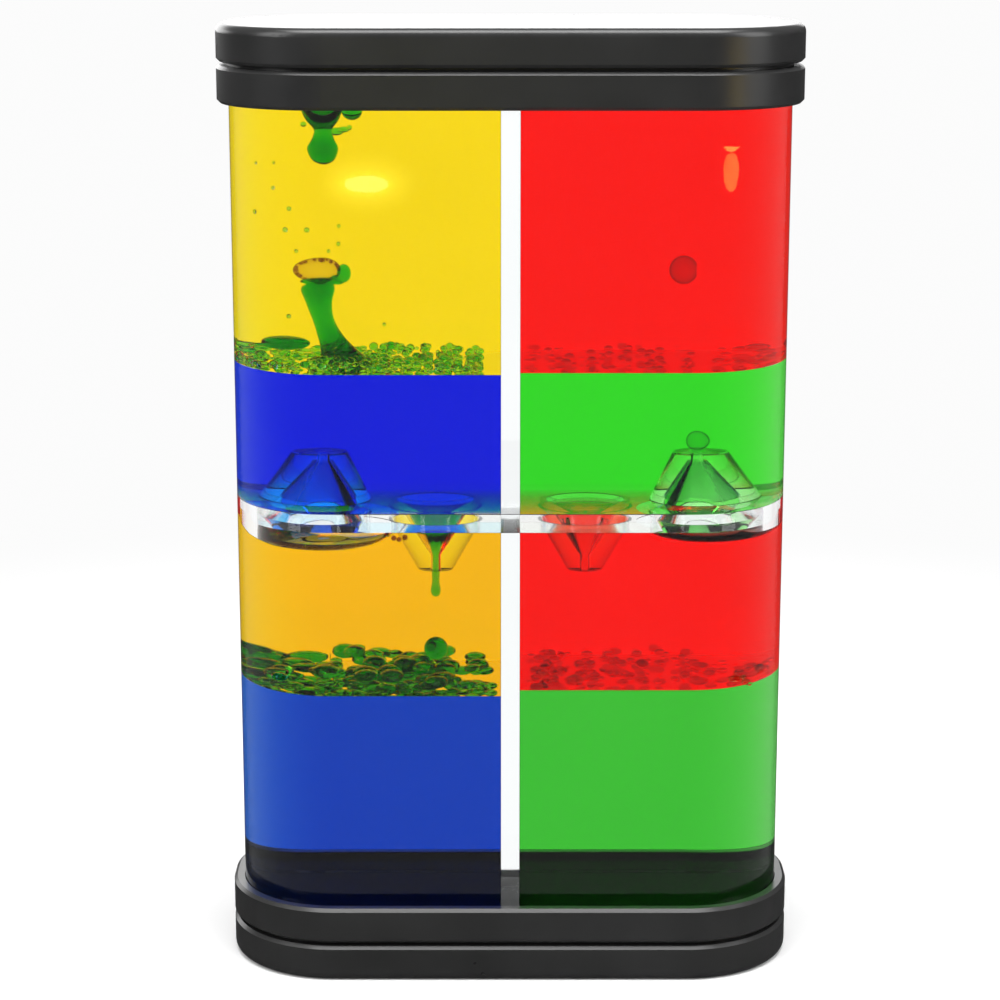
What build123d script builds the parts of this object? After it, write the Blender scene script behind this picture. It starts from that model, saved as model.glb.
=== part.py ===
from build123d import *
import os

os.makedirs("parts", exist_ok=True)

# Overall form: x runs across the two columns, y from front to back, z up from the resting face
cap_width = 90.0
cap_depth = 38.0
cap_corner = 17.0
full_round_share = 0.49  # a corner radius takes at most this share of the depth
total_height = 149.3
tube_inset = 1.8  # the caps stand proud of the clear tube by this much
tube_wall = 3.0

# Fits
slip_gap = 0.1  # between moulded pieces that push together
glue_gap = 0.05  # bonded seams of the clear sheet
wet_gap = 0.05  # liquid to the walls it wets
drop_gap = 0.2  # moving drop to the liquid that parts around it
overrun = 1.0  # how far a cut runs past the piece

# Caps: a dished lid plugs into a collar, and the collar holds the end of the tube
lid_height = 5.75
lid_skin = 2.0
groove_height = 0.55
groove_depth = 1.7
collar_height = 5.7
ledge_height = 1.5
ledge_width = 5.5
cap_edge = 1.3
groove_edge = 0.5
spigot_wall = 1.6
rib_thickness = 1.2
rib_pitch = 17.0
rib_count = 4
pad_thickness = 0.4

# Clear sheet inside the tube
end_plate_thickness = 3.0
nozzle_plate_thickness = 3.0
nozzle_plate_drop = 0.85  # the plate's middle lies this far below half height
divider_thickness = 3.0

# Fill plugs in the top end plate
plug_radius = 2.0
plug_head_radius = 3.5
plug_head_height = 1.0
plug_point = 0.5
plug_place_share = 0.5  # across a column, from the divider to the side wall

# Nozzles: the two rising ones stand on the plate, the two dripping ones hang below it
rise_place_share = 0.711  # across a column
drip_place_share = 0.265
shank_radius = 6.9
shank_wall = 0.7
orifice_radius = 0.75
rise_shoulder = 0.4
rise_tip_radius = 3.6
rise_height = 7.7
rise_orifice_length = 1.8
drip_shoulder = 0.5
drip_tip_radius = 2.8
drip_height = 8.2
drip_orifice_length = 2.6

# Depth of the heavy liquid in each chamber, as a share of the chamber's height
upper_left_pool_share = 0.346
upper_right_pool_share = 0.351
lower_left_pool_share = 0.570
lower_right_pool_share = 0.586

# Height of the layer of drops that waits on each pool before it merges
upper_layer_height = 1.2
lower_left_layer_height = 2.4
lower_right_layer_height = 1.3

# Air trapped under the plate round the mouths of the rising nozzles
left_pocket_radius = 11.4
left_pocket_depth = 2.9
right_pocket_radius = 8.6
right_pocket_depth = 2.1
pocket_floor_share = 0.58  # radius of a pocket's flat underside, of its rim

# Rising bubble in the left column, and the tail of heavy liquid that it drags up
left_bubble_radius = 3.0
left_bubble_half_height = 1.95
left_bubble_share = 0.356  # of the way from the pool to the ceiling
tail_foot_radius = 4.2
tail_height_shares = (0.0, 0.25, 0.7, 1.0)
tail_radius_shares = (1.0, 0.62, 0.46, 0.52)
tail_lean = 3.1
tail_lean_shares = (1.0, 0.7, 0.03, -0.1)

# Flat drop that sinks back to the upper left pool
sinking_drop_radius = 3.0
sinking_drop_half_height = 1.1
sinking_drop_inset = 6.9  # its middle, from the side wall
sinking_drop_setback_share = 0.35  # in front of the nozzle's axis, of half the inner depth
sinking_drop_rise = 2.6  # its middle, above the layer it sinks to

# Heavy liquid that hangs from the ceiling of the left column
hanging_drop_radius = 2.9
hanging_drop_length = 9.4
hanging_drop_setback_share = 0.606  # in front of the nozzle's axis, of half the inner depth
hanging_drop_shift = 0.9
hanging_radius_shares = (0.9, 1.0, 0.48, 0.8, 0.4)
hanging_depth_shares = (0.0, 0.18, 0.5, 0.78, 1.0)

# Drops that fall from the left dripping nozzle
stream_length_share = 0.255  # of the fall from the nozzle's tip to the pool
stream_radius = 0.85
falling_drop_radius = 1.9
falling_drop_rise = 2.55  # its middle, above the layer it falls to

# Bubble and budding drop in the right column
right_bubble_radius = 2.2
right_bubble_share = 0.341
right_bubble_shift = 2.2  # towards the divider from the nozzle's axis
right_bubble_setback_share = 0.317
bud_radius = 1.6

# Levels, worked out from the sizes above
corner = min(cap_corner, cap_depth * full_round_share)
collar_low = lid_height + groove_height
tube_low = collar_low + ledge_height
collar_top = collar_low + collar_height
floor_low = tube_low + pad_thickness
floor_top = floor_low + end_plate_thickness
ceiling = total_height - floor_top
plate_middle = total_height / 2 - nozzle_plate_drop
plate_low = plate_middle - nozzle_plate_thickness / 2
plate_top = plate_middle + nozzle_plate_thickness / 2
flip_plane = Plane.XY.offset(total_height / 2)

# Places across the tube
inner_inset = tube_inset + tube_wall
inner_width = cap_width - 2 * inner_inset
inner_depth = cap_depth - 2 * inner_inset
column_inner = divider_thickness / 2
column_width = inner_width / 2 - column_inner
rise_x = column_inner + column_width * rise_place_share
drip_x = column_inner + column_width * drip_place_share
plug_x = column_inner + column_width * plug_place_share
mouth_radius = shank_radius - shank_wall
rise_base_radius = shank_radius + rise_shoulder
drip_base_radius = shank_radius + drip_shoulder
rise_tip = plate_top + rise_height
drip_tip = plate_low - drip_height
ledge_inset = tube_inset + ledge_width
spigot_inset = ledge_inset + slip_gap
cavity_inset = spigot_inset + spigot_wall
spigot_top = tube_low - slip_gap
upper_left_level = plate_top + (ceiling - plate_top) * upper_left_pool_share
upper_right_level = plate_top + (ceiling - plate_top) * upper_right_pool_share
lower_left_level = floor_top + (plate_low - floor_top) * lower_left_pool_share
lower_right_level = floor_top + (plate_low - floor_top) * lower_right_pool_share
stream_length = (drip_tip - lower_left_level) * stream_length_share
upper_left_open = upper_left_level + upper_layer_height
upper_right_open = upper_right_level + upper_layer_height
lower_left_open = lower_left_level + lower_left_layer_height
lower_right_open = lower_right_level + lower_right_layer_height
hanging_drop_x = -rise_x + hanging_drop_shift
hanging_drop_y = -inner_depth / 2 * hanging_drop_setback_share
right_bubble_x = rise_x - right_bubble_shift
right_bubble_y = inner_depth / 2 * right_bubble_setback_share


def outline(inset, mode=Mode.ADD):
    # Rounded outline of the caps, drawn in by the inset
    RectangleRounded(cap_width - 2 * inset, cap_depth - 2 * inset, corner - inset, mode=mode)


def prism(inset, low, high, mode=Mode.ADD):
    # Upright block on the drawn-in outline
    with BuildSketch(Plane.XY.offset(low)) as profile:
        outline(inset)
    extrude(profile.sketch, amount=high - low, mode=mode)


def spin(points, x, y=0, mode=Mode.ADD):
    # Round piece about an upright axis, from its (radius, height) outline
    with BuildSketch(Plane(origin=(x, y, 0), x_dir=(1, 0, 0), z_dir=(0, -1, 0))) as profile:
        with BuildLine():
            Polyline(*points, close=True)
        make_face()
    revolve(profile.sketch, axis=Axis((x, y, 0), (0, 0, 1)), mode=mode)


def ball_for(radius, height):
    # Radius of the ball whose cap has this rim radius and height
    return (radius**2 + height**2) / (2 * height)


def flat_drop(x, y, z, radius, half_height):
    # Flattened drop: what two equal balls share
    ball = ball_for(radius, half_height)
    with Locations((x, y, z + half_height - ball)):
        Sphere(ball)
    with Locations((x, y, z - half_height + ball)):
        Sphere(ball, mode=Mode.INTERSECT)


def air_pocket(x, radius, depth):
    # Hollow that trapped air leaves in the liquid under the plate
    underside = plate_low - depth
    spin(
        (
            (0, plate_low),
            (radius, plate_low),
            (radius * pocket_floor_share, underside),
            (0, underside),
        ),
        x,
        mode=Mode.SUBTRACT,
    )


def shaft(x, y, radius, low, high, mode=Mode.SUBTRACT):
    # Clear way along which a drop travels
    with BuildSketch(Plane.XY.offset(low)) as profile:
        with Locations((x, y)):
            Circle(radius)
    extrude(profile.sketch, amount=high - low, mode=mode)


def chamber(side, low, high, mode=Mode.ADD):
    # Space of one column between two levels, a wet gap clear of its walls
    with BuildSketch(Plane.XY.offset(low)) as profile:
        outline(inner_inset + wet_gap)
        with Locations((side * (column_inner + wet_gap), 0)):
            Rectangle(
                inner_width,
                inner_depth,
                align=(Align.MIN if side > 0 else Align.MAX, Align.CENTER),
                mode=Mode.INTERSECT,
            )
    extrude(profile.sketch, amount=high - low, mode=mode)


def nozzle_skin(x, way, grow=0, mode=Mode.ADD):
    # Outside of a nozzle: shank through the plate, then the cone beyond its shoulder
    mouth = plate_low if way > 0 else plate_top
    face = plate_top if way > 0 else plate_low
    base = rise_base_radius if way > 0 else drip_base_radius
    tip = rise_tip_radius if way > 0 else drip_tip_radius
    end = rise_tip if way > 0 else drip_tip
    with BuildSketch(Plane(origin=(x, 0, 0), x_dir=(1, 0, 0), z_dir=(0, -1, 0))) as profile:
        with BuildLine():
            Polyline(
                (0, mouth),
                (shank_radius + grow, mouth),
                (shank_radius + grow, face),
                (base + grow, face),
                (tip + grow, end + way * grow),
                (0, end + way * grow),
                close=True,
            )
        make_face()
    revolve(profile.sketch, axis=Axis((x, 0, 0), (0, 0, 1)), mode=mode)


def nozzle_bore(x, way, shrink=0, mode=Mode.SUBTRACT):
    # Inside of a nozzle: wide mouth, cone, then the narrow orifice
    mouth = plate_low if way > 0 else plate_top
    end = rise_tip if way > 0 else drip_tip
    throat = end - way * (rise_orifice_length if way > 0 else drip_orifice_length)
    spin(
        (
            (0, mouth - way * shrink),
            (mouth_radius - shrink, mouth - way * shrink),
            (orifice_radius - shrink, throat),
            (orifice_radius - shrink, end),
            (0, end),
        ),
        x,
        mode=mode,
    )


def write(piece, name):
    piece.part.label = name
    export_step(piece.part, f"parts/{name}.step")


# Lower cap, then the same cap turned over for the top
with BuildPart() as bottom_lid:
    prism(0, 0, lid_height)
    fillet(bottom_lid.edges().group_by(Axis.Z)[0], cap_edge)
    chamfer(bottom_lid.edges().group_by(Axis.Z)[-1], groove_edge)
    prism(groove_depth, lid_height, collar_low)
    prism(spigot_inset, collar_low, spigot_top)
    prism(cavity_inset, lid_skin, spigot_top + overrun, mode=Mode.SUBTRACT)
    with BuildSketch(Plane.XY.offset(lid_skin)) as rib_lines:
        with GridLocations(rib_pitch, 0, rib_count, 1):
            Rectangle(rib_thickness, cap_depth)
        Rectangle(cap_width, rib_thickness)
        outline(cavity_inset, mode=Mode.INTERSECT)
    extrude(amount=lid_height - lid_skin)
write(bottom_lid, "bottom_lid")

with BuildPart() as bottom_collar:
    prism(0, collar_low, collar_top)
    for rim in (0, -1):
        chamfer(bottom_collar.edges().group_by(Axis.Z)[rim], groove_edge)
    prism(tube_inset - slip_gap, tube_low, collar_top + overrun, mode=Mode.SUBTRACT)
    prism(ledge_inset, collar_low - overrun, tube_low + overrun, mode=Mode.SUBTRACT)
write(bottom_collar, "bottom_collar")

# Soft pad between the lid and the end plate
with BuildPart() as bottom_pad:
    prism(inner_inset + slip_gap, tube_low, floor_low)
write(bottom_pad, "bottom_pad")

with BuildPart() as top_lid:
    mirror(bottom_lid.part, about=flip_plane)
write(top_lid, "top_lid")

with BuildPart() as top_collar:
    mirror(bottom_collar.part, about=flip_plane)
write(top_collar, "top_collar")

with BuildPart() as top_pad:
    mirror(bottom_pad.part, about=flip_plane)
write(top_pad, "top_pad")

# Clear tube and the sheets bonded inside it
with BuildPart() as case_tube:
    prism(tube_inset, tube_low, total_height - tube_low)
    prism(inner_inset, tube_low - overrun, total_height - tube_low + overrun, mode=Mode.SUBTRACT)
write(case_tube, "case_tube")

with BuildPart() as bottom_end_plate:
    prism(inner_inset + glue_gap, floor_low, floor_top)
write(bottom_end_plate, "bottom_end_plate")

with BuildPart() as top_end_plate:
    prism(inner_inset + glue_gap, ceiling, total_height - floor_low)
    with Locations(*[(side * plug_x, 0, total_height - floor_low) for side in (-1, 1)]):
        CounterBoreHole(plug_radius, plug_head_radius, plug_head_height)
write(top_end_plate, "top_end_plate")

with BuildPart() as nozzle_plate:
    prism(inner_inset + glue_gap, plate_low, plate_top)
    with Locations(*[(side * x, 0, plate_top) for side in (-1, 1) for x in (rise_x, drip_x)]):
        Hole(shank_radius + glue_gap)
write(nozzle_plate, "nozzle_plate")

for low, high, name in (
    (floor_top, plate_low, "lower_divider"),
    (plate_top, ceiling, "upper_divider"),
):
    with BuildPart() as divider:
        with BuildSketch(Plane.XY.offset(low)) as edge:
            Rectangle(divider_thickness, inner_depth - 2 * glue_gap)
        extrude(amount=high - low)
    write(divider, name)

# Fill plugs, each with its head sunk in the top end plate
for side, hand in ((-1, "left"), (1, "right")):
    head_top = total_height - floor_low
    head_low = head_top - plug_head_height
    with BuildPart() as plug:
        spin(
            (
                (0, head_top),
                (plug_head_radius - slip_gap, head_top),
                (plug_head_radius - slip_gap, head_low),
                (plug_radius - glue_gap, head_low),
                (plug_radius - glue_gap, ceiling + plug_point),
                (plug_radius - glue_gap - plug_point, ceiling),
                (0, ceiling),
            ),
            side * plug_x,
        )
    write(plug, f"{hand}_fill_plug")

    for way, place, kind in ((1, rise_x, "rise"), (-1, drip_x, "drip")):
        with BuildPart() as nozzle:
            nozzle_skin(side * place, way)
            nozzle_bore(side * place, way)
        write(nozzle, f"{hand}_{kind}_nozzle")


# Layers of small drops on the pools
for side, level, open_level, name in (
    (-1, upper_left_level, upper_left_open, "upper_left_drop_layer"),
    (1, upper_right_level, upper_right_open, "upper_right_drop_layer"),
    (-1, lower_left_level, lower_left_open, "lower_left_drop_layer"),
    (1, lower_right_level, lower_right_open, "lower_right_drop_layer"),
):
    with BuildPart() as layer:
        chamber(side, level, open_level)
    write(layer, name)

# Rising bubble in the left column
left_bubble_z = upper_left_level + (ceiling - upper_left_level) * left_bubble_share
with BuildPart() as left_bubble:
    flat_drop(-rise_x, 0, left_bubble_z, left_bubble_radius, left_bubble_half_height)
write(left_bubble, "left_rising_bubble")

# Its tail, from the layer up to just below the bubble
tail_high = left_bubble_z - left_bubble_half_height - drop_gap
with BuildPart() as bubble_tail:
    for height, radius, lean in zip(tail_height_shares, tail_radius_shares, tail_lean_shares):
        level = upper_left_open + (tail_high - upper_left_open) * height
        with BuildSketch(Plane.XY.offset(level)):
            with Locations((-rise_x + tail_lean * lean, 0)):
                Circle(tail_foot_radius * radius)
    loft(ruled=True)
write(bubble_tail, "left_bubble_tail")

# Flat drop that sinks back to the pool
sinking_x = -(inner_width / 2 - sinking_drop_inset)
sinking_y = -inner_depth / 2 * sinking_drop_setback_share
sinking_z = upper_left_open + sinking_drop_rise
with BuildPart() as sinking_drop:
    flat_drop(sinking_x, sinking_y, sinking_z, sinking_drop_radius, sinking_drop_half_height)
write(sinking_drop, "left_sinking_drop")

# Heavy liquid still hanging from the ceiling
hanging_top = ceiling - wet_gap
hanging_outline = [
    (hanging_drop_radius * radius, hanging_top - hanging_drop_length * depth)
    for radius, depth in zip(hanging_radius_shares, hanging_depth_shares)
]
with BuildPart() as hanging_drop:
    spin(
        ((0, hanging_top), *hanging_outline, (0, hanging_top - hanging_drop_length)),
        hanging_drop_x,
        hanging_drop_y,
    )
write(hanging_drop, "left_hanging_drop")

# Stream below the left dripping nozzle
stream_points = (
    (0, drip_tip - wet_gap),
    (orifice_radius, drip_tip - wet_gap),
    (stream_radius, drip_tip - stream_length),
    (0, drip_tip - stream_length),
)
with BuildPart() as drip_stream:
    spin(stream_points, -drip_x)
write(drip_stream, "left_drip_stream")

# Drop that falls from the stream
falling_z = lower_left_open + falling_drop_rise
with BuildPart() as falling_drop:
    with Locations((-drip_x, 0, falling_z)):
        Sphere(falling_drop_radius)
write(falling_drop, "left_falling_drop")

# Right column: rising bubble, and the drop that buds from the nozzle
right_bubble_z = upper_right_level + (ceiling - upper_right_level) * right_bubble_share
with BuildPart() as right_bubble:
    with Locations((right_bubble_x, right_bubble_y, right_bubble_z)):
        Sphere(right_bubble_radius)
write(right_bubble, "right_rising_bubble")

bud_z = rise_tip + wet_gap + bud_radius
with BuildPart() as bud:
    with Locations((rise_x, 0, bud_z)):
        Sphere(bud_radius)
write(bud, "right_budding_drop")

# Light liquids, each shaped round what floats in it
with BuildPart() as upper_left_light:
    chamber(-1, upper_left_open, ceiling - wet_gap)
    add(bubble_tail.part, mode=Mode.SUBTRACT)
    shaft(
        hanging_drop_x,
        hanging_drop_y,
        hanging_drop_radius + wet_gap,
        hanging_top - hanging_drop_length,
        ceiling,
    )
    shaft(-rise_x, 0, left_bubble_radius + drop_gap, tail_high, ceiling)
    shaft(
        sinking_x,
        sinking_y,
        sinking_drop_radius + drop_gap,
        upper_left_open,
        sinking_z + sinking_drop_half_height + drop_gap,
    )
write(upper_left_light, "upper_left_light_liquid")

with BuildPart() as upper_right_light:
    chamber(1, upper_right_open, ceiling - wet_gap)
    shaft(
        right_bubble_x,
        right_bubble_y,
        right_bubble_radius + drop_gap,
        right_bubble_z - right_bubble_radius - drop_gap,
        ceiling,
    )
write(upper_right_light, "upper_right_light_liquid")

stream_end = drip_tip - stream_length
with BuildPart() as lower_left_light:
    chamber(-1, lower_left_open, plate_low - wet_gap)
    nozzle_skin(-drip_x, -1, wet_gap, mode=Mode.SUBTRACT)
    air_pocket(-rise_x, left_pocket_radius, left_pocket_depth)
    shaft(-drip_x, 0, falling_drop_radius + drop_gap, lower_left_open, stream_end)
    shaft(-drip_x, 0, stream_radius + wet_gap, stream_end, drip_tip)
write(lower_left_light, "lower_left_light_liquid")

with BuildPart() as lower_right_light:
    chamber(1, lower_right_open, plate_low - wet_gap)
    nozzle_skin(drip_x, -1, wet_gap, mode=Mode.SUBTRACT)
    air_pocket(rise_x, right_pocket_radius, right_pocket_depth)
write(lower_right_light, "lower_right_light_liquid")

# Heavy liquids: the upper ones also fill the dripping nozzles
for side, level, name in (
    (-1, upper_left_level, "upper_left_heavy_liquid"),
    (1, upper_right_level, "upper_right_heavy_liquid"),
):
    with BuildPart() as pool:
        chamber(side, plate_top + wet_gap, level)
        nozzle_bore(side * drip_x, -1, wet_gap, mode=Mode.ADD)
        nozzle_skin(side * rise_x, 1, wet_gap, mode=Mode.SUBTRACT)
        if side > 0:
            shaft(rise_x, 0, bud_radius + drop_gap, rise_tip, level)
    write(pool, name)

for side, level, name in (
    (-1, lower_left_level, "lower_left_heavy_liquid"),
    (1, lower_right_level, "lower_right_heavy_liquid"),
):
    with BuildPart() as pool:
        chamber(side, floor_top + wet_gap, level)
    write(pool, name)

# Travel of each moving drop from where it stands
print("left bubble rises", ceiling - left_bubble_z - left_bubble_half_height - drop_gap)
print("left sinking drop sinks", sinking_drop_rise - sinking_drop_half_height - drop_gap)
print("left falling drop falls", falling_drop_rise - falling_drop_radius - drop_gap)
print("left falling drop back up", stream_end - falling_z - falling_drop_radius - drop_gap)
print("right bubble rises", ceiling - right_bubble_z - right_bubble_radius - drop_gap)
print("right bud rises", upper_right_level - bud_z - bud_radius - drop_gap)
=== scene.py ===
import math
import random

import bmesh
import bpy
from mathutils import Matrix, Vector


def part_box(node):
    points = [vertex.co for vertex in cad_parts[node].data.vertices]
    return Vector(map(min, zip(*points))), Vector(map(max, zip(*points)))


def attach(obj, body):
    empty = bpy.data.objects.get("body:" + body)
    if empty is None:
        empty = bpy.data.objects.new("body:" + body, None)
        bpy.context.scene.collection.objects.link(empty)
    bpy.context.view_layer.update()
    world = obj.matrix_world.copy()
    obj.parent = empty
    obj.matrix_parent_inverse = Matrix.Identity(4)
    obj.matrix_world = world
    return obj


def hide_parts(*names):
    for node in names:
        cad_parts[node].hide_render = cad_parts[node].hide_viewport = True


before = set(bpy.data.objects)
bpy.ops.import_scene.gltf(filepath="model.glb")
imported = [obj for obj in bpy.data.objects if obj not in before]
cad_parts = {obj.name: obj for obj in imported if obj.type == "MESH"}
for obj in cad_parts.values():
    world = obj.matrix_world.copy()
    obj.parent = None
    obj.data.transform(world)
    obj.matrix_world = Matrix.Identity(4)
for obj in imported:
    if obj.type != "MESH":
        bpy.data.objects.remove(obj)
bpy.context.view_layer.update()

mm = 0.001
hair = 0.01 * mm  # what differs by less than this counts as level
crisp = {"sheet": 35, "cone": 40, "rim": 50, "drop": 60}  # edges sharper than these degrees show
scene = bpy.context.scene


def middleAndSize(box):
    # Middle and size of a box given by its two corners
    low, high = box
    return (low + high) / 2, high - low


def axisOf(box):
    # Foot of the upright line through a box, on the middle plane of the timer
    low, high = box
    return Vector(((low.x + high.x) / 2, 0, 0))


# Shader maths: a wire is one output, and sums on it add their own nodes
class Wire:
    def __init__(self, tree, socket=None):
        self.tree = tree
        self.socket = socket

    def node(self, kind, settings=None, values=None, output=0):
        made = self.tree.nodes.new(kind)
        for name, value in (settings or {}).items():
            if name == "stops":
                setStops(made.color_ramp, value)
            else:
                setattr(made, name, value)
        for name, value in (values or {}).items():
            if isinstance(value, Wire):
                self.tree.links.new(value.socket, made.inputs[name])
            else:
                made.inputs[name].default_value = value
        return Wire(self.tree, made.outputs[output])

    def maths(self, operation, first, second):
        return self.node("ShaderNodeMath", {"operation": operation}, {0: first, 1: second})

    def __add__(self, other):
        return self.maths("ADD", self, other)

    def __radd__(self, other):
        return self.maths("ADD", other, self)

    def __sub__(self, other):
        return self.maths("SUBTRACT", self, other)

    def __rsub__(self, other):
        return self.maths("SUBTRACT", other, self)

    def __mul__(self, other):
        return self.maths("MULTIPLY", self, other)

    def __rmul__(self, other):
        return self.maths("MULTIPLY", other, self)


def setStops(ramp, stops):
    while len(ramp.elements) < len(stops):
        ramp.elements.new(1.0)
    for element, (place, colour) in zip(ramp.elements, stops):
        element.position = place
        element.color = (*colour, 1.0)


def newMaterial(name):
    material = bpy.data.materials.new(name)
    material.use_nodes = True
    material.node_tree.nodes.clear()
    return material, Wire(material.node_tree)


def outputOf(start, ends, kind="ShaderNodeOutputMaterial"):
    made = start.tree.nodes.new(kind)
    for name, wire in ends.items():
        start.tree.links.new(wire.socket, made.inputs[name])


def closeMaterial(start, values, absorb=None):
    # absorb: how much red, green and blue light is lost per metre
    ends = {"Surface": start.node("ShaderNodeBsdfPrincipled", values=values)}
    if absorb:
        # Two per cent to spare, so that no share of the colour is quite zero
        density = max(absorb) * 1.02
        colour = [1 - share / density for share in absorb]
        ends["Volume"] = start.node(
            "ShaderNodeVolumeAbsorption", values={"Color": (*colour, 1.0), "Density": density}
        )
    outputOf(start, ends)


def objectPlace(start):
    return start.node("ShaderNodeTexCoord", output="Object")


def noise(start, scale, detail=2.0):
    return start.node(
        "ShaderNodeTexNoise", values={"Vector": objectPlace(start), "Scale": scale, "Detail": detail}
    )


def tones(start, pattern, *stops):
    return start.node("ShaderNodeValToRGB", {"stops": stops}, {"Fac": pattern})


def bump(start, height, strength, distance):
    values = {"Strength": strength, "Distance": distance, "Height": height}
    return start.node("ShaderNodeBump", values=values)


def grey(value):
    return (value, value, value)


# Finishes
def capPlastic():
    look = {
        "shade": 0.014, "lift": 0.008, "cloud": 60.0, "cloudDetail": 3.0,
        "rough": 0.24, "roughSpread": 0.1, "grain": 2600.0, "bump": 0.03, "bumpDepth": 0.2 * mm,
    }
    material, start = newMaterial("satin black plastic")
    cloud = noise(start, look["cloud"], look["cloudDetail"])
    grain = noise(start, look["grain"])
    dark, light = grey(look["shade"]), grey(look["shade"] + look["lift"])
    closeMaterial(start, {
        "Base Color": tones(start, cloud, (0.3, dark), (0.75, light)),
        "Roughness": look["rough"] + cloud * look["roughSpread"],
        "Normal": bump(start, grain, look["bump"], look["bumpDepth"]),
    })
    return material


def padFoam():
    look = {
        "shade": 0.012, "light": 0.024, "rough": 0.93, "cells": 1800.0, "bump": 0.3, "bumpDepth": 0.1 * mm,
    }
    material, start = newMaterial("closed cell foam")
    cells = noise(start, look["cells"])
    closeMaterial(start, {
        "Base Color": tones(start, cells, (0.2, grey(look["shade"])), (0.8, grey(look["light"]))),
        "Roughness": look["rough"],
        "Normal": bump(start, cells, look["bump"], look["bumpDepth"]),
    })
    return material


def plugPlastic():
    look = {"shade": 0.78, "light": 0.84, "cloud": 300.0, "rough": 0.3, "roughSpread": 0.1}
    material, start = newMaterial("white plug plastic")
    cloud = noise(start, look["cloud"])
    closeMaterial(start, {
        "Base Color": tones(start, cloud, (0.2, grey(look["shade"])), (0.8, grey(look["light"]))),
        "Roughness": look["rough"] + cloud * look["roughSpread"],
    })
    return material


def clearAcrylic(name, bend):
    look = {
        "low": (0.975, 0.985, 0.985), "high": (0.995, 1.0, 1.0),
        "cloud": 25.0, "smear": 0.008, "shine": 0.35,
    }
    material, start = newMaterial(name)
    cloud = noise(start, look["cloud"])
    closeMaterial(start, {
        "Base Color": tones(start, cloud, (0.3, look["low"]), (0.7, look["high"])),
        "Roughness": cloud * look["smear"],
        "IOR": bend,
        "Specular Tint": (*grey(look["shine"]), 1.0),
        "Transmission Weight": 1.0,
    })
    return material


def clearLiquid(name, bend, absorb, shine=0.04):
    # shine: low for a pool, whose walls are wetted and mirror little
    look = {"low": 0.985, "high": 1.0, "cloud": 40.0}
    material, start = newMaterial(name)
    cloud = noise(start, look["cloud"])
    values = {
        "Base Color": tones(start, cloud, (0.3, grey(look["low"])), (0.7, grey(look["high"]))),
        "Roughness": 0.0,
        "IOR": bend,
        "Specular Tint": (*grey(shine), 1.0),
        "Transmission Weight": 1.0,
    }
    closeMaterial(start, values, absorb)
    return material


# How strongly each clear stuff bends light
bends = {
    "acrylic": 1.49, "wetted": 1.03, "oil": 1.42, "water": 1.36, "drop": 1.16, "bead": 1.3, "film": 1.03,
}
finishes = {
    "cap": capPlastic(),
    "pad": padFoam(),
    "plug": plugPlastic(),
    "acrylic": clearAcrylic("clear acrylic", bends["acrylic"]),
    "wetted": clearAcrylic("wetted clear acrylic", bends["wetted"]),
    # The lower oil and water are the same liquids as above, given more absorption: painted shade that
    # darkens the lower chambers
    "upperYellow": clearLiquid("upper yellow oil", bends["oil"], (1.6, 13.2, 300.0)),
    "shadedLowerYellow": clearLiquid("lower yellow oil with painted shade", bends["oil"], (1.8, 26.0, 300.0)),
    "red": clearLiquid("red oil", bends["oil"], (0.5, 240.0, 330.0)),
    "upperBlue": clearLiquid("upper blue water", bends["water"], (1000.0, 185.0, 13.0)),
    "shadedLowerBlue": clearLiquid("lower blue water with painted shade", bends["water"], (210.0, 108.0, 27.0)),
    "upperGreen": clearLiquid("upper green water", bends["water"], (128.0, 13.6, 153.0)),
    "shadedLowerGreen": clearLiquid("lower green water with painted shade", bends["water"], (109.0, 23.0, 121.0)),
    "blueDrop": clearLiquid("blue drop in yellow oil", bends["drop"], (1700.0, 260.0, 150.0), 0.5),
    "blueBead": clearLiquid("small blue drop", bends["bead"], (1300.0, 220.0, 120.0), 0.7),
    "greenDrop": clearLiquid("green drop in red oil", bends["drop"], (300.0, 40.0, 500.0), 0.5),
    # Thin dark stuff that paints shade: the dark edge of the bud and the dark bore of each rising nozzle
    "film": clearLiquid("dark film painting shade round a bubble", bends["film"], (900.0, 700.0, 500.0), 0.5),
    # Near-black stuff that paints shade: the dark edges of trapped air, of the bubbles and of the beads of
    # air
    "rim": clearLiquid("painted shade rim of trapped air", bends["film"], (1900.0, 2900.0, 3600.0), 0.5),
}
print("finishes ready")

# Fixed pieces keep their built shape and take the finish of the first ending that fits
fixedFinishes = {
    "_lid": "cap", "_collar": "cap", "_fill_plug": "plug", "bottom_end_plate": "wetted", "": "acrylic",
}
for name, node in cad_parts.items():
    kind = next(kind for ending, kind in fixedFinishes.items() if name.endswith(ending))
    node.data.materials.clear()
    node.data.materials.append(finishes[kind])


def smoothBy(data, angle):
    # Smooth shading, with edges sharper than the angle kept crisp
    data.shade_smooth()
    data.set_sharp_from_angle(angle=math.radians(angle))


def addPiece(
    mesh, name, finish, nodes, body="timer_case", sharp=crisp["drop"], hollow=None
):
    # Turns a bmesh into a piece that stands for these nodes; the walls of a hollow face into it
    bmesh.ops.recalc_face_normals(mesh, faces=mesh.faces)
    if hollow:
        bmesh.ops.reverse_faces(mesh, faces=hollow)
    data = bpy.data.meshes.new(name)
    mesh.to_mesh(data)
    mesh.free()
    smoothBy(data, sharp)
    piece = bpy.data.objects.new(name, data)
    scene.collection.objects.link(piece)
    data.materials.append(finishes[finish])
    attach(piece, body)
    if nodes:
        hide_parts(*nodes)
    return piece


def newBlock(low, high):
    # Upright block between two corners
    mesh = bmesh.new()
    bmesh.ops.create_cube(mesh, size=1.0)
    bmesh.ops.scale(mesh, vec=high - low, verts=mesh.verts)
    bmesh.ops.translate(mesh, vec=(low + high) / 2, verts=mesh.verts)
    return mesh


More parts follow.
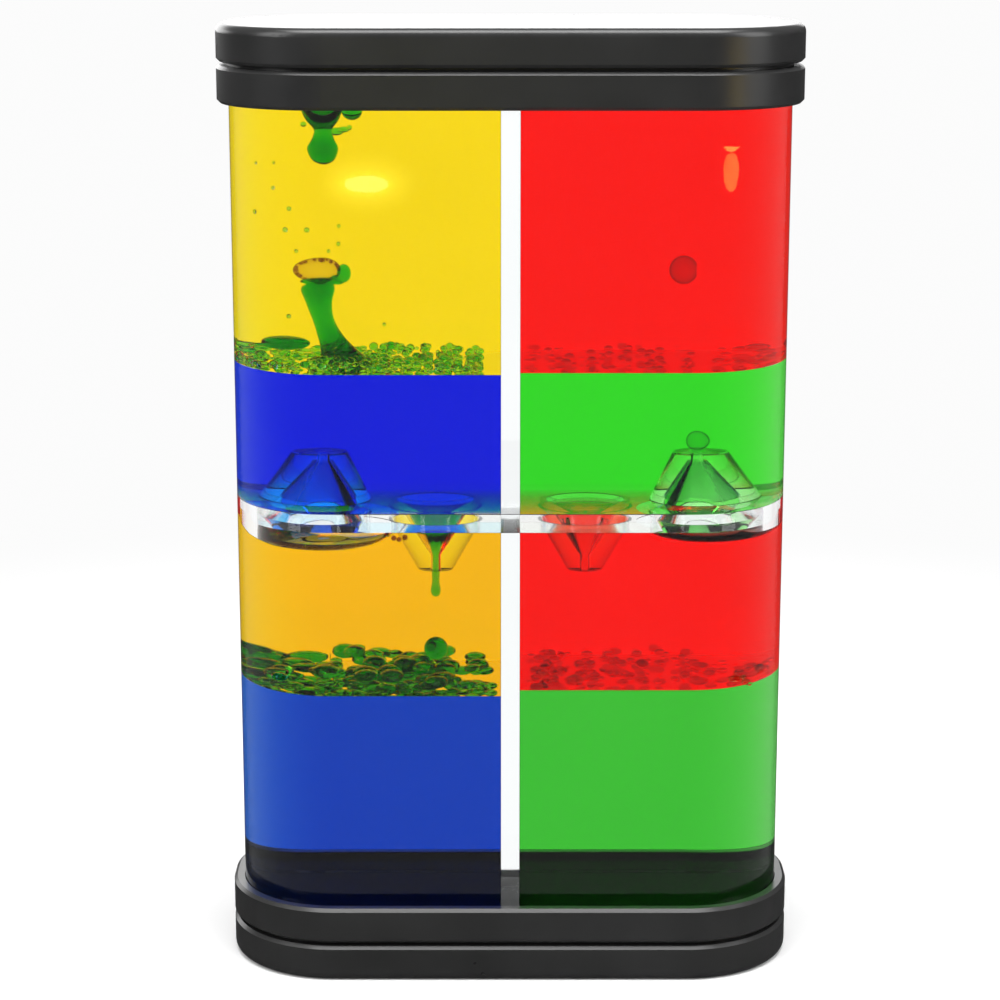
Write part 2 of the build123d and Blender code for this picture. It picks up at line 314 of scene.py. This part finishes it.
def roundOff(mesh, edges, offset, segments, clamp=False):
    bmesh.ops.bevel(
        mesh, geom=edges, offset=offset, offset_type="OFFSET", affect="EDGES",
        segments=segments, profile=0.5, material=-1, clamp_overlap=clamp,
    )


def riseOf(edge):
    return abs(edge.verts[0].co.z - edge.verts[1].co.z)


# Chambers: each liquid reaches a hair into the walls it wets, so no air shows between them
chamber = {"reach": 0.1 * mm, "corner": 12.25 * mm, "cornerSteps": 20, "skin": 0.03 * mm}


def cellBlock(low, high):
    # Block with its two outer corners rounded like the inside of the tube
    mesh = newBlock(low, high)
    outer = max(abs(low.x), abs(high.x))
    corners = [
        edge for edge in mesh.edges
        if riseOf(edge) > hair and all(abs(abs(vert.co.x) - outer) < mm for vert in edge.verts)
    ]
    roundOff(mesh, corners, chamber["corner"], chamber["cornerSteps"])
    return mesh


# Pads and dividers are pressed and bonded to the plates, so each reaches a hair into them
sheet = {
    "reach": 0.1 * mm, "lap": 0.05 * mm, "padCorner": 11.0 * mm, "cornerSteps": 12,
    "edge": 0.04 * mm, "edgeSteps": 3,
}
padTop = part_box("bottom_pad")[1].z + sheet["reach"]
poolFoot = padTop - sheet["lap"]


def sheetBlock(low, high, corner=0.0):
    # Block with its level edges eased, and its four corners rounded where a corner is given
    mesh = newBlock(low, high)
    if corner:
        roundOff(mesh, [edge for edge in mesh.edges if riseOf(edge) > hair], corner, sheet["cornerSteps"])
    level = [edge for edge in mesh.edges if riseOf(edge) < hair]
    roundOff(mesh, level, sheet["edge"], sheet["edgeSteps"], clamp=True)
    return mesh


for storey in ("lower", "upper"):
    low, high = (corner.copy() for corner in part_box(f"{storey}_divider"))
    for axis in (1, 2):
        low[axis] -= sheet["reach"]
        high[axis] += sheet["reach"]
    if storey == "lower":
        low.z = poolFoot
    addPiece(
        sheetBlock(low, high), f"{storey}_wall", "acrylic",
        [f"{storey}_divider"], sharp=crisp["sheet"],
    )
for end in ("bottom", "top"):
    low, high = (corner.copy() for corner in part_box(f"{end}_pad"))
    if end == "bottom":
        high.z = padTop
    else:
        low.z -= sheet["reach"]
    addPiece(
        sheetBlock(low, high, sheet["padCorner"]), f"{end}_cushion", "pad",
        [f"{end}_pad"], sharp=crisp["sheet"],
    )
print("walls and pads set")


def spinOutline(outline, place, steps=64, closed=False):
    # Round shape from (radius, height) points about an upright axis
    mesh = bmesh.new()
    verts = [mesh.verts.new((radius, 0, height)) for radius, height in outline]
    pairs = list(zip(verts, verts[1:])) + ([(verts[-1], verts[0])] if closed else [])
    edges = [mesh.edges.new(pair) for pair in pairs]
    bmesh.ops.spin(
        mesh, geom=verts + edges, cent=(0, 0, 0), axis=(0, 0, 1), dvec=(0, 0, 0),
        angle=math.tau, steps=steps, use_merge=True,
    )
    bmesh.ops.remove_doubles(mesh, verts=mesh.verts, dist=0.001 * mm)
    bmesh.ops.translate(mesh, vec=place, verts=mesh.verts)
    bmesh.ops.recalc_face_normals(mesh, faces=mesh.faces)
    return mesh


# Nozzles: a shank through the plate, then a cone; dimensions that the box of a node doesn't give
plateLow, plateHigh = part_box("nozzle_plate")
nozzleShape = {
    "shank": 6.9 * mm, "wall": 0.7 * mm, "orifice": 0.75 * mm, "seat": 0.08 * mm,
    "edge": 0.35 * mm, "edgeSteps": 4, "edgeAngle": 25, "steps": 72,
    "rise": {"tip": 3.6 * mm, "throat": 1.8 * mm},
    "drip": {"tip": 2.8 * mm, "throat": 2.6 * mm},
}
boreMouth = nozzleShape["shank"] - nozzleShape["wall"]


def nozzleOutline(kind, box, grow=0.0, bored=True):
    # Outside from mouth to tip, then back down the bore
    low, high = box
    shape = nozzleShape[kind]
    way = 1 if kind == "rise" else -1
    mouth, end = (low.z, high.z) if kind == "rise" else (high.z, low.z)
    face = plateHigh.z if kind == "rise" else plateLow.z
    base = (high.x - low.x) / 2 + grow
    tip = end + way * grow
    shank = nozzleShape["shank"] + nozzleShape["seat"]
    outside = [(shank, mouth), (shank, face), (base, face), (shape["tip"] + grow, tip)]
    if not bored:
        return [(0, mouth)] + outside + [(0, tip)]
    orifice = nozzleShape["orifice"]
    return outside + [(orifice, end), (orifice, end - way * shape["throat"]), (boreMouth, mouth)]


def boreSlope(kind, box):
    # How fast the bore narrows from its mouth to its throat
    low, high = box
    return (boreMouth - nozzleShape["orifice"]) / (high.z - low.z - nozzleShape[kind]["throat"])


def makeNozzle(side, kind):
    node = f"{side}_{kind}_nozzle"
    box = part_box(node)
    tip = box[1].z if kind == "rise" else box[0].z
    mesh = spinOutline(nozzleOutline(kind, box), axisOf(box), nozzleShape["steps"], closed=True)
    rims = [
        edge for edge in mesh.edges
        if edge.calc_face_angle(0.0) > math.radians(nozzleShape["edgeAngle"])
        and riseOf(edge) < hair and abs(edge.verts[0].co.z - tip) < hair
    ]
    roundOff(mesh, rims, nozzleShape["edge"], nozzleShape["edgeSteps"], clamp=True)
    addPiece(mesh, f"{side}_{kind}_cone", "acrylic", [node], sharp=crisp["cone"])


def shadeBore(side):
    # Thin dark shell in the bore of a rising nozzle, round the air held in it: painted shade that darkens
    # the bore
    film = {"thick": 0.34 * mm, "tip": 0.5 * mm, "lift": 3.1 * mm, "seat": 0.03 * mm, "steps": 48}
    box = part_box(f"{side}_rise_nozzle")
    tip = box[1].z - nozzleShape["rise"]["throat"]
    foot = box[0].z + film["lift"]
    wide = boreMouth - boreSlope("rise", box) * film["lift"]
    orifice = nozzleShape["orifice"]
    outline = [
        (wide + film["thick"], foot), (orifice + film["tip"], tip),
        (orifice + film["seat"], tip), (wide + film["seat"], foot),
    ]
    mesh = spinOutline(outline, axisOf(box), film["steps"], closed=True)
    addPiece(mesh, f"{side}_bore_shade", "film", [], sharp=crisp["cone"])


for side in ("left", "right"):
    for kind in ("rise", "drip"):
        makeNozzle(side, kind)
    shadeBore(side)
print("nozzles turned")


def carve(piece, cutters):
    # Cuts or joins shapes and keeps the result as the piece's own mesh
    tools = []
    for mesh, way in cutters:
        data = bpy.data.meshes.new("tool")
        mesh.to_mesh(data)
        mesh.free()
        tool = bpy.data.objects.new("tool", data)
        scene.collection.objects.link(tool)
        modifier = piece.modifiers.new("carve", "BOOLEAN")
        modifier.operation = way
        modifier.solver = "EXACT"
        modifier.object = tool
        tools.append(tool)
    bpy.context.view_layer.update()
    shown = piece.evaluated_get(bpy.context.evaluated_depsgraph_get())
    carved = bpy.data.meshes.new_from_object(shown)
    piece.modifiers.clear()
    piece.data = carved
    smoothBy(carved, crisp["sheet"])
    for tool in tools:
        bpy.data.objects.remove(tool)


# Air trapped under the plate, round each rising nozzle
pocketShape = {
    "left": {"radius": 12.0 * mm, "depth": 3.1 * mm, "place": Vector((-29.3 * mm, -7.6 * mm, 0))},
    "right": {"radius": 10.6 * mm, "depth": 3.0 * mm, "place": Vector((30.3 * mm, -2.6 * mm, 0))},
    "shares": ((1.0, 0.0), (0.96, 0.3), (0.84, 0.62), (0.64, 0.86), (0.36, 0.98), (0.0, 1.0)),
    "lap": 1.0 * mm,
}


def pocketMesh(side):
    # A shallow dome that hangs from the plate and laps into it
    shape = pocketShape[side]
    top = plateLow.z + pocketShape["lap"]
    dome = [
        (shape["radius"] * across, plateLow.z - shape["depth"] * down)
        for across, down in pocketShape["shares"]
    ]
    return spinOutline([(0, top), (shape["radius"], top)] + dome, shape["place"])


# Level where water meets oil in the bore of each dripping nozzle, and how far a fill laps its ends
throat = {
    "left": 70.3 * mm, "right": 74.5 * mm, "seat": 0.04 * mm, "lap": 0.05 * mm,
    "overPlate": 0.02 * mm, "inPlate": 0.4 * mm, "underPlate": 0.2 * mm,
}


def throatFill(side, low, high):
    # What stands in the wide bore of the dripping nozzle between two levels
    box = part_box(f"{side}_drip_nozzle")
    slope = boreSlope("drip", box)
    head, foot = (
        boreMouth + throat["seat"] - slope * (box[1].z - level) for level in (high, low)
    )
    return spinOutline([(0, high), (head, high), (foot, low), (0, low)], axisOf(box))


def pourLiquid(side, storey, kind, finish):
    # One liquid, from the level where the drop layer stands
    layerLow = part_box(f"{storey}_{side}_drop_layer")[0]
    low, high = (corner.copy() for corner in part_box(f"{storey}_{side}_{kind}_liquid"))
    for axis in (0, 1):
        low[axis] -= chamber["reach"]
        high[axis] += chamber["reach"]
    if kind == "light":
        low.z = layerLow.z + chamber["skin"]
        high.z += chamber["reach"]
    else:
        # The lower pool reaches through the clear floor to the pad, so the floor mirrors nothing
        high.z = layerLow.z
        low.z = plateHigh.z - chamber["reach"] if storey == "upper" else poolFoot
    stuff = "oil" if kind == "light" else "water"
    piece = addPiece(
        cellBlock(low, high), f"{storey}_{side}_{stuff}", finish,
        [f"{storey}_{side}_{kind}_liquid"], sharp=crisp["sheet"],
    )
    if storey == "upper" and kind == "heavy":
        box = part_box(f"{side}_rise_nozzle")
        outline = nozzleOutline("rise", box, -chamber["skin"], bored=False)
        fill = throatFill(side, throat[side], plateHigh.z + throat["overPlate"])
        carve(piece, [(spinOutline(outline, axisOf(box)), "DIFFERENCE"), (fill, "UNION")])
    if storey == "lower" and kind == "light":
        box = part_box(f"{side}_drip_nozzle")
        outline = nozzleOutline("drip", box, -chamber["skin"])
        # On the left the water has sunk into the bore; on the right the oil has risen in it
        meeting = throat[side] + throat["lap"]
        if side == "left":
            bore = (throatFill(side, meeting, plateLow.z + throat["inPlate"]), "DIFFERENCE")
        else:
            bore = (throatFill(side, plateLow.z - throat["underPlate"], meeting), "UNION")
        carve(piece, [
            (spinOutline(outline, axisOf(box), closed=True), "DIFFERENCE"),
            (pocketMesh(side), "DIFFERENCE"),
            bore,
        ])


pourLiquid("left", "upper", "light", "upperYellow")
pourLiquid("left", "lower", "light", "shadedLowerYellow")
pourLiquid("right", "upper", "light", "red")
pourLiquid("right", "lower", "light", "red")
pourLiquid("left", "upper", "heavy", "upperBlue")
pourLiquid("left", "lower", "heavy", "shadedLowerBlue")
pourLiquid("right", "upper", "heavy", "upperGreen")
pourLiquid("right", "lower", "heavy", "shadedLowerGreen")
print("liquids poured")


def addBall(mesh, place, size, steps=2):
    # One drop: a ball squeezed to its three half sizes
    made = bmesh.ops.create_icosphere(mesh, subdivisions=steps, radius=1.0)
    bmesh.ops.scale(mesh, vec=size, verts=made["verts"])
    bmesh.ops.translate(mesh, vec=place, verts=made["verts"])


# Strays are the few specks that hang near the front wall: across, height and radius in mm
upperStrays = (
    (-35.0, 129.1, 0.25), (-38.0, 129.0, 0.25), (-35.2, 125.3, 0.3), (-38.4, 121.6, 0.35),
    (-32.9, 122.2, 0.35), (-33.5, 119.0, 0.4), (-30.5, 119.0, 0.4), (-25.9, 119.6, 0.3),
    (-26.0, 116.9, 0.35), (-32.0, 115.8, 0.3), (-27.5, 115.8, 0.3), (-33.2, 105.8, 0.35),
    (-19.2, 104.6, 0.3),
)
# Least lift of a drop in mm, share of the pile left at its right end, and how far front strays hang
heap = {"least": 0.05, "edge": 0.1, "strayDepth": -12.0}
# Radius, pile, margin, taper, sinks and room are in mm; flat is a share of the radius
layers = (
    ("upper", "left", "blueBead", "blue_in_yellow", {
        "seed": 3, "count": 400, "radius": (0.3, 0.8), "flat": (0.6, 0.95), "pile": 1.0,
        "margin": 2.4, "taper": 8.0, "strays": upperStrays,
        "under": "left_sinking_drop", "sinks": 1.3, "room": 0.9,
    }),
    ("lower", "left", "blueBead", "blue_in_yellow", {
        "seed": 5, "count": 120, "radius": (0.9, 2.2), "flat": (0.4, 0.6), "pile": 1.9,
        "margin": 0.3, "taper": 1.0,
    }),
    ("upper", "right", "greenDrop", "green_in_red", {
        "seed": 7, "count": 90, "radius": (0.3, 0.9), "flat": (0.5, 0.8), "pile": 0.5,
        "margin": 0.3, "taper": 1.0,
    }),
    ("lower", "right", "greenDrop", "green_in_red", {
        "seed": 9, "count": 130, "radius": (0.3, 1.1), "flat": (0.5, 0.8), "pile": 1.2,
        "margin": 0.3, "taper": 1.0,
    }),
)


def inTheWay(place, flat, look):
    # Whether a small drop stands where a larger one sinks onto the layer
    if "under" not in look:
        return False
    middle, size = middleAndSize(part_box(look["under"]))
    room = look["room"] * mm
    away = place - middle
    reach = Vector((away.x / (size.x / 2 + room), away.y / (size.y / 2 + room)))
    return reach.length < 1 and place.z + flat > middle.z - size.z / 2 - look["sinks"] * mm


def dropLayer(storey, side, finish, slotName, look):
    # Small drops that wait on a pool; the pile gets thinner towards its right end
    low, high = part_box(f"{storey}_{side}_drop_layer")
    chance = random.Random(look["seed"])
    mesh = bmesh.new()
    for _ in range(look["count"]):
        radius = chance.uniform(*look["radius"]) * mm
        flat = radius * chance.uniform(*look["flat"])
        end = high.x - radius - look["margin"] * mm
        across = chance.uniform(low.x + 2 * radius, end)
        along = chance.uniform(low.y + radius, high.y - radius)
        taper = min(1.0, heap["edge"] + (end - across) / (look["taper"] * mm))
        lift = chance.uniform(heap["least"], look["pile"]) * taper * mm
        place = Vector((across, along, low.z + flat + lift))
        if not inTheWay(place, flat, look):
            addBall(mesh, place, (radius, radius, flat))
    for x, z, radius in look.get("strays", ()):
        place = Vector((x, heap["strayDepth"], z)) * mm
        addBall(mesh, place, Vector((radius, radius, radius)) * mm)
    addPiece(mesh, f"{storey}_{side}_drops", finish, [f"{storey}_{side}_drop_layer"])


for layer in layers:
    dropLayer(*layer)
print("drop layers laid")

# Beads on a bubble's rim: radius in mm, and how far each strays as a share of their spacing
beading = {"radius": (0.22, 0.38), "stray": 0.2, "ballSteps": 4}


def ballPiece(name, finish, node, body, thick=0.0, beads=0):
    # Drop or bubble that fills the box of its node; a bubble gets a wall, beaded round its rim
    middle, size = middleAndSize(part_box(node))
    mesh = bmesh.new()
    addBall(mesh, middle, size / 2, beading["ballSteps"])
    outer = set(mesh.faces)
    if thick:
        addBall(mesh, middle, size / 2 - Vector((thick, thick, thick)), beading["ballSteps"])
    hollow = [face for face in mesh.faces if face not in outer]
    chance = random.Random(beads)
    for turn in range(beads):
        angle = math.tau * (turn + chance.uniform(-beading["stray"], beading["stray"])) / beads
        radius = chance.uniform(*beading["radius"]) * mm
        reach = Vector((
            math.cos(angle) * (size.x / 2 - radius), 0, math.sin(angle) * (size.z / 2 - radius),
        ))
        addBall(mesh, middle + reach, (radius, radius, radius))
    addPiece(mesh, name, finish, [node], body, hollow=hollow)


# The bubble walls and their beads, and the bud's wall, are dark stuff: painted shade for their dark edges
ballPiece("left_bubble", "rim", "left_rising_bubble", "left_bubble_body", 0.05 * mm, 20)
ballPiece("left_flat_drop", "blueDrop", "left_sinking_drop", "left_sinking_drop_body")
ballPiece("left_fallen_drop", "blueDrop", "left_falling_drop", "left_falling_drop_body")
ballPiece("right_bubble", "rim", "right_rising_bubble", "right_bubble_body", 0.09 * mm)
ballPiece("right_bud", "film", "right_budding_drop", "right_bud_body", 0.18 * mm)


def clusterPiece(name, middle, balls, body="timer_case"):
    # Blob of blue liquid: balls that run into one another, each by its place and half sizes in mm
    mesh = bmesh.new()
    for offset, size in balls:
        addBall(mesh, middle + Vector(offset) * mm, Vector(size) * mm, steps=3)
    addPiece(mesh, name, "blueDrop", [], body)


# Green liquid that the left bubble carries at its foot and on its right
bubbleMiddle, bubbleSize = middleAndSize(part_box("left_rising_bubble"))
skirt = (
    ((0.4, 0.1, -1.75), (2.7, 1.8, 0.62)),
    ((3.4, 0.2, -0.5), (1.1, 1.2, 1.45)),
    ((2.4, 0.2, -1.5), (1.3, 1.3, 0.8)),
)
clusterPiece("left_bubble_skirt", bubbleMiddle, skirt, "left_bubble_body")


def easeBetween(before, start, end, after, share):
    # Part of the way from start to end, on a curve that also heeds the values beside them
    slope = end - before
    bend = 2 * before - 5 * start + 4 * end - after
    twist = 3 * start - before - 3 * end + after
    return 0.5 * (2 * start + slope * share + bend * share * share + twist * share ** 3)


def easedOutline(outline, parts=4):
    # Smooth curve through the points, so no corner shows in the round
    points = [outline[0]] + list(outline) + [outline[-1]]
    eased = []
    for four in zip(points, points[1:], points[2:], points[3:]):
        for part in range(parts):
            radius, height = (easeBetween(*values, part / parts) for values in zip(*four))
            eased.append((max(0.0, radius), height))
    return eased + [outline[-1]]


def spunPiece(name, outline, place, nodes, lean=None):
    # Round piece of blue liquid from (radius, height) points, eased, spun, then leant by its height
    mesh = spinOutline(easedOutline(outline), Vector((0, 0, 0)), steps=32)
    if lean:
        for vert in mesh.verts:
            vert.co += lean(vert.co.z)
    bmesh.ops.translate(mesh, vec=place, verts=mesh.verts)
    addPiece(mesh, name, "blueDrop", nodes)


# Tail under the left bubble: heights are shares of its own height, the rest is in mm
tailShape = {
    "heights": (0.0, 0.05, 0.16, 0.32, 0.55, 0.78, 0.93, 1.0),
    "radii": (4.4, 3.9, 2.9, 2.0, 1.45, 1.65, 2.1, 1.6),
    "lean": 4.0, "leanPower": 1.5, "bow": 0.8, "gap": 0.2,
}
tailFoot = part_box("upper_left_drop_layer")[0].z
tailHeight = bubbleMiddle.z - bubbleSize.z / 2 - tailShape["gap"] * mm - tailFoot


def tailLean(height):
    share = height / tailHeight
    lean = tailShape["lean"] * max(0.0, 1 - share) ** tailShape["leanPower"]
    bow = tailShape["bow"] * math.sin(math.pi * min(1.0, max(0.0, share)))
    return Vector(((lean - bow) * mm, 0, 0))


tailSide = [
    (radius * mm, share * tailHeight) for radius, share in zip(tailShape["radii"], tailShape["heights"])
]
spunPiece(
    "left_tail", [(0, 0)] + tailSide + [(0, tailHeight)], Vector((bubbleMiddle.x, 0, tailFoot)),
    ["left_bubble_tail"], lean=tailLean,
)

# Stream: radius and height in mm, from its foot, from the tip of the nozzle, and from the water above
streamShape = {
    "foot": ((0.0, 0.0), (0.5, 0.2), (0.8, 1.0), (0.6, 2.4)),
    "tip": ((0.66, 0.0), (0.68, 2.7)),
    "water": ((1.0, -1.9), (1.6, -1.0), (2.5, -0.1), (0.0, -0.1)),
}
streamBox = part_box("left_drip_stream")
streamAxis = axisOf(streamBox)
streamLevels = {"foot": streamBox[0].z, "tip": streamBox[1].z, "water": throat["left"]}
streamSide = [
    (radius * mm, level + height * mm)
    for part, level in streamLevels.items()
    for radius, height in streamShape[part]
]
spunPiece("left_stream", streamSide, streamAxis, ["left_drip_stream"])

# Dark rim where the trapped air on the left meets the front wall, and the beads beside it, made of
# near-black stuff as painted shade
rim = {
    "front": -14.05 * mm, "start": -16.0 * mm, "bendAt": -28.0 * mm, "turn": 11.9 * mm,
    "steps": 90, "sides": 8, "end": 0.995, "least": 0.04 * mm, "thick": 0.3 * mm, "swell": 0.2 * mm,
    "flat": 0.9, "gap": 0.1 * mm, "hang": 0.9, "seed": 4,
    "frontBeads": ((-18.0, 71.4), (-17.2, 71.2), (-16.3, 71.5)), "frontRadius": (0.4, 0.6),
    "boreBeads": (200, 225, 250, 275, 300, 325, 345), "boreRadius": (0.4, 0.65),
    "boreReach": 2.1 * mm, "boreGap": 0.1 * mm,
}


def rimPath():
    # Places and inward ways on the wall: straight along the front, then round the tube's corner
    path = []
    for step in range(rim["steps"]):
        across = rim["start"] + (rim["bendAt"] - rim["start"]) * step / rim["steps"]
        path.append((Vector((across, rim["front"], 0)), Vector((0, 1, 0))))
    bend = Vector((rim["bendAt"], rim["front"] + rim["turn"], 0))
    for step in range(rim["steps"]):
        angle = math.pi / 2 * step / rim["steps"]
        inward = Vector((math.sin(angle), math.cos(angle), 0))
        path.append((bend - inward * rim["turn"], inward))
    return path


def rimRings():
    # Where each ring of the rim stands, as a matrix that also squeezes a unit circle to its size
    shape = pocketShape["left"]
    up = Vector((0, 0, 1))
    rings = []
    for place, inward in rimPath():
        share = (place - shape["place"]).length / shape["radius"]
        if share > rim["end"]:
            continue
        drop = math.sqrt(1 - share * share)
        thick = rim["least"] + rim["thick"] * drop ** 0.5 + rim["swell"] * drop ** 3
        ring = Matrix((inward * thick * rim["flat"], up * thick, inward.cross(up)))
        ring = ring.transposed().to_4x4()
        ring.translation = place + inward * thick
        ring.translation.z = plateLow.z - rim["gap"] - shape["depth"] * rim["hang"] * drop
        rings.append(ring)
    return rings


def paintShadeRim():
    mesh = bmesh.new()
    rings = rimRings()
    loops = []
    for number, ring in enumerate(rings):
        made = bmesh.ops.create_circle(
            mesh, cap_ends=number in (0, len(rings) - 1), segments=rim["sides"], radius=1.0, matrix=ring,
        )
        # Each edge of the new circle once, in the same order every run
        loops.append(list(dict.fromkeys(edge for vert in made["verts"] for edge in vert.link_edges)))
    for first, second in zip(loops, loops[1:]):
        bmesh.ops.bridge_loops(mesh, edges=first + second)
    chance = random.Random(rim["seed"])
    for x, z in rim["frontBeads"]:
        radius = chance.uniform(*rim["frontRadius"]) * mm
        addBall(mesh, Vector((x * mm, rim["front"] + radius, z * mm)), (radius, radius, radius))
    for angle in rim["boreBeads"]:
        radius = chance.uniform(*rim["boreRadius"]) * mm
        way = Vector((math.cos(math.radians(angle)), math.sin(math.radians(angle)), 0))
        place = streamAxis + way * rim["boreReach"]
        place.z = throat["left"] - radius - rim["boreGap"]
        addBall(mesh, place, (radius, radius, radius))
    addPiece(mesh, "left_air_shade_rim", "rim", [], sharp=crisp["rim"])


paintShadeRim()

# Liquid that hangs from the ceiling: radius in mm, then how far down as a share of its height
hangShape = (
    (2.7, 0.0), (2.9, 0.12), (2.3, 0.3), (1.3, 0.45), (1.6, 0.6), (2.2, 0.75), (1.6, 0.93), (0.5, 1.0),
)
hangMiddle, hangSize = middleAndSize(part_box("left_hanging_drop"))
hangTop = hangMiddle.z + hangSize.z / 2
hangSide = [(radius * mm, hangTop - share * hangSize.z) for radius, share in hangShape]
spunPiece(
    "left_ceiling_drop", [(0, hangTop)] + hangSide + [(0, hangTop - hangSize.z)],
    Vector((hangMiddle.x, hangMiddle.y, 0)), ["left_hanging_drop"],
)

# Liquid beside it: a second blob with a small one next to it, an arm off the lobe, and two specks
besideDrop = (
    ((4.3, 0.0, -1.5), (1.55, 1.4, 1.3)), ((6.3, 0.0, -0.9), (0.5, 0.5, 0.45)),
    ((1.9, 0.0, -4.5), (1.1, 0.7, 0.6)), ((3.0, 0.0, -4.2), (0.9, 0.6, 0.45)),
    ((-2.6, 0.0, -3.4), (0.4, 0.4, 0.4)), ((3.9, 0.0, -3.9), (0.4, 0.4, 0.4)),
)
clusterPiece("left_ceiling_beads", Vector((hangMiddle.x, hangMiddle.y, hangTop)), besideDrop)
print("drops and bubbles placed")

# Floor, world and lamps
surround = {"white": 0.97, "shine": 0.06, "above": 0.36, "fullAt": 0.8, "fill": 0.5}
floor = {"size": 3.0, "tone": 0.85, "near": 0.08, "far": 0.3}


def rayKinds(start):
    # Which ray looks: the camera's, one that came through glass, one off something shiny
    kinds = ("Is Camera Ray", "Is Transmission Ray", "Is Glossy Ray")
    return [start.node("ShaderNodeLightPath", output=kind) for kind in kinds]


def makeFloor():
    mesh = bmesh.new()
    bmesh.ops.create_grid(mesh, x_segments=1, y_segments=1, size=floor["size"])
    data = bpy.data.meshes.new("floor")
    mesh.to_mesh(data)
    mesh.free()
    piece = bpy.data.objects.new("floor", data)
    scene.collection.objects.link(piece)
    material, start = newMaterial("pale floor")
    camera, through, shiny = rayKinds(start)
    away = start.node("ShaderNodeVectorMath", {"operation": "LENGTH"}, {0: objectPlace(start)}, output=1)
    far = start.node(
        "ShaderNodeMapRange", {"interpolation_type": "SMOOTHSTEP"},
        {"Value": away, "From Min": floor["near"], "From Max": floor["far"]},
    )
    # Near the object the camera sees paint and its shadow; elsewhere, and through glass, plain white
    plain = camera * far + through + shiny
    paint = start.node("ShaderNodeBsdfDiffuse", values={"Color": (*grey(floor["tone"]), 1.0)})
    level = (camera + through) * surround["white"] + shiny * surround["shine"]
    glow = start.node("ShaderNodeEmission", values={"Color": (1, 1, 1, 1), "Strength": level})
    both = start.node("ShaderNodeMixShader", values={0: plain, 1: paint, 2: glow})
    outputOf(start, {"Surface": both})
    data.materials.append(material)


def makeWorld():
    # White to the eye and through glass; for shine it is bright above and dim around
    world = bpy.data.worlds.new("pale surround")
    scene.world = world
    world.use_nodes = True
    world.node_tree.nodes.clear()
    start = Wire(world.node_tree)
    camera, through, shiny = rayKinds(start)
    seen = start.maths("MAXIMUM", camera, through)
    way = start.node("ShaderNodeTexCoord", output="Generated")
    up = start.node("ShaderNodeSeparateXYZ", values={0: way}, output=2)
    lift = start.node(
        "ShaderNodeMapRange", values={"Value": up, "From Min": 0.0, "From Max": surround["fullAt"]}
    )
    gloss = surround["shine"] + lift * surround["above"]
    other = gloss * shiny + surround["fill"] * (1 - shiny)
    level = surround["white"] * seen + other * (1 - seen)
    back = start.node("ShaderNodeBackground", values={"Color": (1, 1, 1, 1), "Strength": level})
    outputOf(start, {"Surface": back}, "ShaderNodeOutputWorld")


def addLamp(name, place, target, size, power, shineOnly=False, colour=(1.0, 1.0, 1.0)):
    # A lamp for shine shows only as its mirror image in a surface
    data = bpy.data.lights.new(name, "AREA")
    data.color = colour
    data.shape = "ELLIPSE" if shineOnly else "RECTANGLE"
    data.size, data.size_y = size
    data.energy = power
    lamp = bpy.data.objects.new(name, data)
    scene.collection.objects.link(lamp)
    lamp.location = place
    lamp.rotation_euler = (Vector(target) - Vector(place)).to_track_quat("-Z", "Y").to_euler()
    if shineOnly:
        lamp.visible_camera = False
        lamp.visible_diffuse = False
        lamp.visible_transmission = False


makeFloor()
makeWorld()

# Each lamp by its place, what it points at, its two widths in metres and its watts
lamps = {
    "top lamp": ((0.0, -0.15, 0.9), (0, 0, 0.1), (0.7, 0.5), 9.0),
    "left lamp": ((-0.8, -0.5, 0.6), (0, 0, 0.07), (0.5, 0.8), 5.0),
    "right lamp": ((0.8, -0.4, 0.5), (0, 0, 0.07), (0.5, 0.8), 5.0),
}
for name, lamp in lamps.items():
    addLamp(name, *lamp)

# The soft glow at the top left is a stack of ever wider and fainter ovals
glow = {
    "core": (0.013, 0.005), "grow": (0.0032, 0.0026), "steps": 6, "power": 0.0017,
    "place": Vector((-0.0416, -0.43, 0.078)), "back": Vector((0, 0.0004, 0)),
    "target": (-0.0214, 0, 0.126), "coreColour": (1.0, 1.0, 0.6), "colour": (1.0, 1.0, 0.1),
}
for step in range(glow["steps"]):
    size = tuple(core + step * grow for core, grow in zip(glow["core"], glow["grow"]))
    colour = glow["colour"] if step else glow["coreColour"]
    place = glow["place"] - step * glow["back"]
    addLamp(f"glow {step + 1}", place, glow["target"], size, glow["power"], True, colour)

# One soft light behind shows on the lid, and two amber ones mirror in the tube on the right
amber = (1.0, 0.7, 0.12)
amberPlace = (0.367, -0.385)
addLamp("back shine", (-0.35, 0.9, 0.32), (0, 0, 0.25), (1.7, 0.4), 5.5, shineOnly=True)
addLamp(
    "right streak", (*amberPlace, 0.072), (0.0325, -0.0135, 0.128), (0.17, 0.013), 0.08, True, amber
)
addLamp(
    "right bar", (*amberPlace, 0.0797), (0.0325, -0.0135, 0.1316), (0.17, 0.0016), 0.02, True, amber
)

view = {"lens": 99.11, "sensor": 36.0, "near": 0.01, "down": 13.22}
viewPlace = (-1.61 * mm, -427.1 * mm, 174.3 * mm)
cameraData = bpy.data.cameras.new("camera")
cameraData.lens = view["lens"]
cameraData.sensor_width = view["sensor"]
cameraData.clip_start = view["near"]
camera = bpy.data.objects.new("camera", cameraData)
scene.collection.objects.link(camera)
camera.location = viewPlace
camera.rotation_euler = (math.radians(90 - view["down"]), 0, 0)
scene.camera = camera

scene.view_settings.view_transform = "Standard"
# Light passes many clear walls before it reaches the eye
scene.cycles.max_bounces = 32
scene.cycles.transmission_bounces = 32
scene.cycles.glossy_bounces = 8
scene.cycles.transparent_max_bounces = 16
print("camera and light set")
